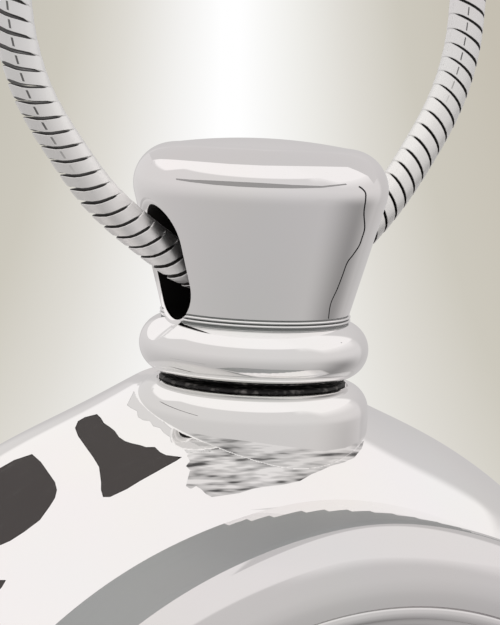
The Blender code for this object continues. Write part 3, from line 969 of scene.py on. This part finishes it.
# name, look, outline: dark patches, the collar's torn image on the flask, streaks low on its own wall,
# the cap's top, the collar's edge mirrored in the slope, and a wedge on the cap
outlines = (
    ("leftPatch", "patchDark", (
        (-14, 476), (0, 468), (14, 460), (32, 454), (41, 462), (48, 472), (55, 482), (57, 490), (55, 498),
        (50, 506), (40, 520), (24, 532), (10, 541), (-4, 547), (-14, 550))),
    ("neckPatch", "patchDark", (
        (75, 428), (78, 421), (85, 417), (97, 414), (101, 418), (104, 423), (110, 427), (115, 431),
        (119, 437), (125, 441), (131, 443), (140, 445), (146, 447), (155, 447), (160, 452), (166, 455),
        (174, 456), (182, 457), (176, 461), (165, 467), (158, 471), (140, 481), (127, 489), (110, 497),
        (103, 497), (101, 490), (101, 482), (99, 467), (93, 457), (85, 446), (78, 436))),
    ("lowPatch", "patchDark", (
        (-8, 583), (0, 580), (6, 580), (2, 587), (-4, 594), (-10, 596))),
    ("collarImage", "tornImage", (
        (190, 450), (187, 456), (190, 461), (186, 466), (190, 470), (188, 478), (186, 486), (191, 489),
        (196, 486), (201, 489), (206, 494), (212, 497), (226, 495), (240, 493), (252, 489), (262, 487),
        (281, 485), (300, 481), (312, 474), (322, 470), (330, 466), (345, 462), (354, 457), (352, 450),
        (300, 446), (240, 446))),
    ("collarStreaks", "wallStreaks", (
        (178, 431), (200, 434.5), (220, 438), (253, 442), (290, 447), (325, 451), (345, 448), (358, 442),
        (364, 441), (362, 448), (354, 458), (338, 464), (321, 467.5), (300, 468.5), (287, 468),
        (254, 462.5), (221, 453.5), (191, 442.5))),
    ("topShade", "topShade", (
        (149, 153), (158, 149), (172, 147), (198, 147), (230, 149), (262, 150), (294, 150), (326, 152),
        (350, 155), (364, 160), (374, 168), (377, 178), (374, 184), (368, 176), (358, 171), (348, 167),
        (326, 166.5), (294, 166), (262, 165.5), (230, 164), (198, 161.5), (172, 159.5), (160, 159),
        (152, 160))),
    ("collarEdge", "collarEdge", (
        (141, 383), (134, 391), (130, 399), (127, 405), (131, 408), (137, 411), (138, 417), (143, 420),
        (150, 421), (153, 426), (160, 428), (164, 433), (170, 437), (171, 442), (177, 445), (183, 448),
        (187, 453), (198, 452), (212, 452), (200, 446), (184, 437), (168, 426), (156, 414), (147, 400))),
    ("rimWedge", "rimWedge", (
        (176, 178.4), (190, 179.6), (214, 180.6), (238, 181.8), (262, 183), (294, 185), (322, 186),
        (346, 183.6), (347, 184.8), (322, 187.8), (294, 188.4), (262, 187.8), (238, 186.6), (214, 184.8),
        (190, 182), (176, 179.8))),
)

# grain of the card's net, least distance from the neck's axis, and tones: middle and edge, or streaks
cardLooks = {
    "patchDark": (1.5, flask["collar"], (tone(80, 76, 75), tone(20, 18, 18))),
    "tornImage": (0.75, flask["collar"],
                  stops(((0, 80), (0.2, 130), (0.4, 180), (0.6, 200), (0.8, 213), (1, 236)))),
    "wallStreaks": (0.75, 0, stops(((0, 96), (0.25, 150), (0.45, 186), (0.65, 200), (0.85, 212), (1, 226)))),
    "topShade": (0.75, 0, (tone(212), tone(212))),
    "collarEdge": (0.75, flask["collar"], (tone(226), tone(168))),
    "rimWedge": (0.75, 0, (tone(158), tone(142))),
    "lineDark": (0, 0, (tone(30, 29, 30), tone(30, 29, 30))),
}


class Mirror:
    # follows a picture point to the silver and on to where its reflection looks
    def __init__(self, *names):
        self.shapes = []
        for name in names:
            mesh = bpy.data.objects[name].data
            corners = [vert.co.copy() for vert in mesh.vertices]
            faces = [tuple(poly.vertices) for poly in mesh.polygons]
            self.shapes.append((mesh, corners, faces, BVHTree.FromPolygons(corners, faces)))

    def strike(self, start, ray):
        best = None
        for shape in self.shapes:
            place, _, index, distance = shape[3].ray_cast(start, ray)
            if place is not None and (best is None or distance < best[2]):
                best = (shape, index, distance, place)
        if best is None:
            return None
        mesh, corners, faces, _ = best[0]
        weights = poly_3d_calc([corners[i] for i in faces[best[1]]], best[3])
        first = mesh.polygons[best[1]].loop_start
        normal = Vector((0, 0, 0))
        for i, weight in enumerate(weights):
            normal += mesh.corner_normals[first + i].vector * weight
        return best[3], normal.normalized()

    def look(self, x, y):
        right, up, back = cameraAxes()
        focal = camera["distance"] / camera["pixel"]
        aside = (x - camera["frameWidth"] / 2) / focal
        above = (camera["frameHeight"] / 2 - y) / focal
        ray = (right * aside + up * above - back).normalized()
        start = cameraObject.matrix_world.translation.copy()
        fromNeck = 0
        for bounce in range(cards["bounces"]):
            found = self.strike(start, ray)
            if found is None:
                return (bounce, start, ray, fromNeck) if bounce else None
            place, normal = found
            if not bounce:
                fromNeck = math.hypot(place.x, place.y)
            ray = (ray - normal * (2 * ray.dot(normal))).normalized()
            start = place + normal * cards["clear"]
        return None


def insideOutline(x, y, outline):
    inside = False
    for (x0, y0), (x1, y1) in zip(outline, outline[1:] + outline[:1]):
        if (y0 > y) != (y1 > y) and x < (x1 - x0) * (y - y0) / (y1 - y0) + x0:
            inside = not inside
    return inside


def filledOutline(outline, grain):
    # triangles over an outline, fine enough to bend with the silver
    edge = []
    for (x0, y0), (x1, y1) in zip(outline, outline[1:] + outline[:1]):
        parts = max(1, round(math.hypot(x1 - x0, y1 - y0) / grain))
        edge += [(x0 + (x1 - x0) * i / parts, y0 + (y1 - y0) * i / parts) for i in range(parts)]
    points = [Vector(p) for p in edge]
    columns = [p[0] for p in edge]
    rows = [p[1] for p in edge]
    y = min(rows) + grain / 2
    while y < max(rows):
        x = min(columns) + grain / 2
        while x < max(columns):
            if insideOutline(x, y, edge) and min(math.hypot(x - a, y - b) for a, b in edge) > grain * 0.6:
                points.append(Vector((x, y)))
            x += grain
        y += grain
    done = delaunay_2d_cdt(points, [], [list(range(len(edge)))], 1, 1e-4)
    border = {i for i, sources in enumerate(done[3]) if any(s < len(edge) for s in sources)}
    return done[0], done[2], border


def buildCard(name, mirror, net, material, offNeck):
    points, faces, border = net
    looks = [mirror.look(x, y) for x, y in points]
    places = [look[1] + look[2] * cards["distance"] if look else Vector((0, 0, 0)) for look in looks]
    kept = []
    for face in faces:
        found = [looks[i] for i in face]
        if all(look and look[0] == found[0][0] < 3 and look[3] > offNeck for look in found):
            if min(a[2].dot(b[2]) for a in found for b in found) > cards["closeness"]:
                kept.append(tuple(face))
    mesh = bpy.data.meshes.new(name)
    mesh.from_pydata(places, [], kept)
    rim = mesh.attributes.new("rim", "FLOAT", "POINT")
    streak = mesh.attributes.new("streak", "FLOAT", "POINT")
    for i, (x, y) in enumerate(points):
        rim.data[i].value = 1.0 if i in border else 0.0
        wide = noise.noise(Vector((x * 0.024, y * 0.21 + x * 0.012, 3.1)))
        fine = noise.noise(Vector((x * 0.08, y * 0.62, 7.7)))
        # darker at the torn image's left end
        left = max(0, 1 - abs(x - 196) / 22) * max(0, 1 - abs(y - 462) / 14)
        streak.data[i].value = 0.66 + wide * 0.85 + fine * 0.6 - 0.5 * left
    obj = painted(linkMesh(name, mesh), material)
    obj.visible_camera = False
    obj.visible_diffuse = False
    obj.visible_shadow = False


def cardMaterial(name, tones):
    # seen only at the card's own distance from the silver, in the first two mirrorings
    mat, board = nodeMaterial(name)
    board.nodes.clear()
    if len(tones) == 2:
        shade = board.mix(board.rise(board.reading("rim"), 0.45, 0.85), *tones)
    else:
        shade = board.ramp(board.reading("streak"), 0, 1, tones)
    path = board.add("ShaderNodeLightPath").outputs
    away = board.math("ABSOLUTE", board.math("SUBTRACT", path["Ray Length"], cards["distance"]))
    near = board.math("LESS_THAN", away, cards["reach"])
    first = board.math("LESS_THAN", path["Ray Depth"], 2.5)
    glow = board.add("ShaderNodeEmission", {"Color": shade}).outputs["Emission"]
    clear = board.add("ShaderNodeBsdfTransparent").outputs["BSDF"]
    both = board.add("ShaderNodeMixShader", {"Fac": board.math("MULTIPLY", near, first), 1: clear, 2: glow})
    board.add("ShaderNodeOutputMaterial", {"Surface": both.outputs["Shader"]})
    return mat


def lineNet():
    # a thin strip that narrows along the line
    spine = catmullRom([Vector(spot) for spot in cards["capLine"]], 8)
    last = len(spine) - 1
    points = []
    for i, spot in enumerate(spine):
        along = spine[min(last, i + 1)] - spine[max(0, i - 1)]
        aside = Vector((along.y, -along.x)).normalized() * cards["lineHalf"] * (1 - 0.45 * i / last)
        points += [spot - aside, spot + aside]
    faces = [(2 * i, 2 * i + 1, 2 * i + 3, 2 * i + 2) for i in range(last)]
    return points, faces, set()


def buildCards():
    mirror = Mirror("capStopper", "flaskShell")
    materials = {name: cardMaterial(name, look[2]) for name, look in cardLooks.items()}
    for name, look, outline in outlines:
        grain, offNeck, _ = cardLooks[look]
        buildCard(name, mirror, filledOutline(outline, grain), materials[look], offNeck)
    buildCard("capLine", mirror, lineNet(), materials["lineDark"], 0)


buildFloor()
buildWorld()
buildCards()
print("stage made")
